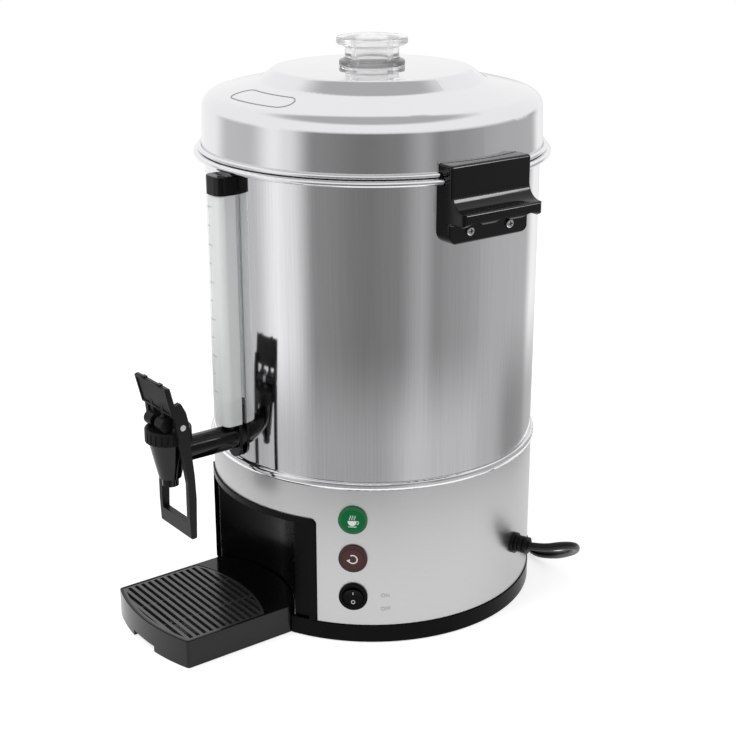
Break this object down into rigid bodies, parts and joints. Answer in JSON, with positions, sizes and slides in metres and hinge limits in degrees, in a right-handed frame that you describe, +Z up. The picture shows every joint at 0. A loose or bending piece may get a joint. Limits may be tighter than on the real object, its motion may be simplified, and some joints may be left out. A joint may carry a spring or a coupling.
{
  "type": "coffee urn",
  "caption": "Tall percolating coffee urn with a polished tank, push-lever faucet, level gauge, sliding drip tray, side handles and a lift-off lid.",
  "frame": {"origin": "on the tank's axis, on the surface that the urn stands on", "axes": "+Z up, the faucet and drip tray towards -Y, the switch and lamps between -Y and +X"},
  "size_m": [0.3459, 0.5267, 0.4805],
  "materials": {
    "polished_steel": "polished stainless steel",
    "satin_steel": "satin stainless steel",
    "black_plastic": "glossy black",
    "clear_plastic": "clear moulded plastic",
    "frosted_plastic": "frosted plastic",
    "gauge_glass": "clear tube",
    "rubber": "black, soft",
    "plain_steel": "plain steel",
    "chrome_screws": "chromed",
    "aluminium": "spun aluminium",
    "brass": "bare brass",
    "wire_sleeve": "glass-fibre sleeve"
  },
  "bodies": {
    "urn": {"tank": "polished_steel", "joint_band": "polished_steel", "base_skirt": "satin_steel", "base_ring": "black_plastic", "niche_panel": "black_plastic", "bottom_cover": "plain_steel", "foot_strip": "rubber", "bottom_screws": "plain_steel", "base_stud": "plain_steel", "base_nut": "plain_steel", "heater_plate": "aluminium", "brew_element": "plain_steel", "warm_element": "plain_steel", "thermostat": "plain_steel", "thermal_cutout": "plain_steel", "terminal_block": "black_plastic", "wiring": "wire_sleeve", "ready_lamp_body": "black_plastic", "brew_lamp_body": "black_plastic", "ready_lamp_lens": "clear_plastic", "brew_lamp_lens": "clear_plastic", "lamp_clips": "black_plastic", "switch_housing": "black_plastic", "handle_right": "black_plastic", "handle_left": "black_plastic", "handle_screws": "chrome_screws", "mount_brackets": "polished_steel", "gauge_tube": "gauge_glass", "gauge_shield": "clear_plastic", "gauge_cap": "black_plastic", "gauge_seals": "rubber", "gauge_foot": "frosted_plastic", "shank_plate": "black_plastic", "faucet_body": "black_plastic", "faucet_bonnet": "black_plastic", "shank_gaskets": "rubber", "shank_nut": "black_plastic", "strain_relief": "black_plastic", "power_cord": "rubber", "cord_coil": "rubber", "cord_tie": "black_plastic", "plug_lead": "rubber", "plug_body": "rubber", "plug_blades": "brass"},
    "valve_stem": {"faucet_stem": "plain_steel", "seat_cup": "rubber", "lever_pin": "plain_steel", "faucet_spring": "plain_steel"},
    "lever": {"faucet_lever": "black_plastic"},
    "rocker": {"switch_rocker": "black_plastic"},
    "tray": {"drip_tray": "black_plastic"},
    "grate": {"drip_grate": "black_plastic"},
    "lid": {"lid": "polished_steel", "lid_knob": "clear_plastic", "knob_nut": "plain_steel"},
    "pump": {"pump_tube": "aluminium", "pump_base": "aluminium"},
    "pump_valve": {"pump_valve": "plain_steel"},
    "basket": {"basket": "aluminium"},
    "basket_cover": {"basket_cover": "aluminium"}
  },
  "joints": [
    {"name": "lid_lift", "type": "slide", "parent": "urn", "child": "lid", "axis": [0, 0, 1], "range_m": [0, 0.12]},
    {"name": "stem_lift", "type": "slide", "parent": "urn", "child": "valve_stem", "axis": [0, 0, 1], "range_m": [0, 0.0028], "stiffness_N_per_m": 1000, "springref_m": -0.004, "deforming": ["faucet_spring"]},
    {"name": "lever_tilt", "type": "hinge", "parent": "valve_stem", "child": "lever", "pos_m": [0, -0.2057, 0.1935], "axis": [1, 0, 0], "range_deg": [0, 20]},
    {"name": "switch_rock", "type": "hinge", "parent": "urn", "child": "rocker", "pos_m": [0.10085, -0.09537, 0.0428], "axis": [-0.6871, -0.7266, 0], "range_deg": [0, 14]},
    {"name": "tray_slide", "type": "slide", "parent": "urn", "child": "tray", "axis": [0, -1, 0], "range_m": [0, 0.13]},
    {"name": "grate_lift", "type": "slide", "parent": "tray", "child": "grate", "axis": [0, 0, 1], "range_m": [0, 0.04]},
    {"name": "pump_lift", "type": "slide", "parent": "urn", "child": "pump", "axis": [0, 0, 1], "range_m": [0, 0.02]},
    {"name": "valve_rise", "type": "slide", "parent": "pump", "child": "pump_valve", "axis": [0, 0, 1], "range_m": [0, 0.003]},
    {"name": "basket_lift", "type": "slide", "parent": "pump", "child": "basket", "axis": [0, 0, 1], "range_m": [0, 0.05]},
    {"name": "cover_lift", "type": "slide", "parent": "basket", "child": "basket_cover", "axis": [0, 0, 1], "range_m": [0, 0.05]}
  ],
  "couplings": [
    {"joint": "lever_tilt", "follows": "stem_lift", "rad_per_m": 124.6}
  ]
}
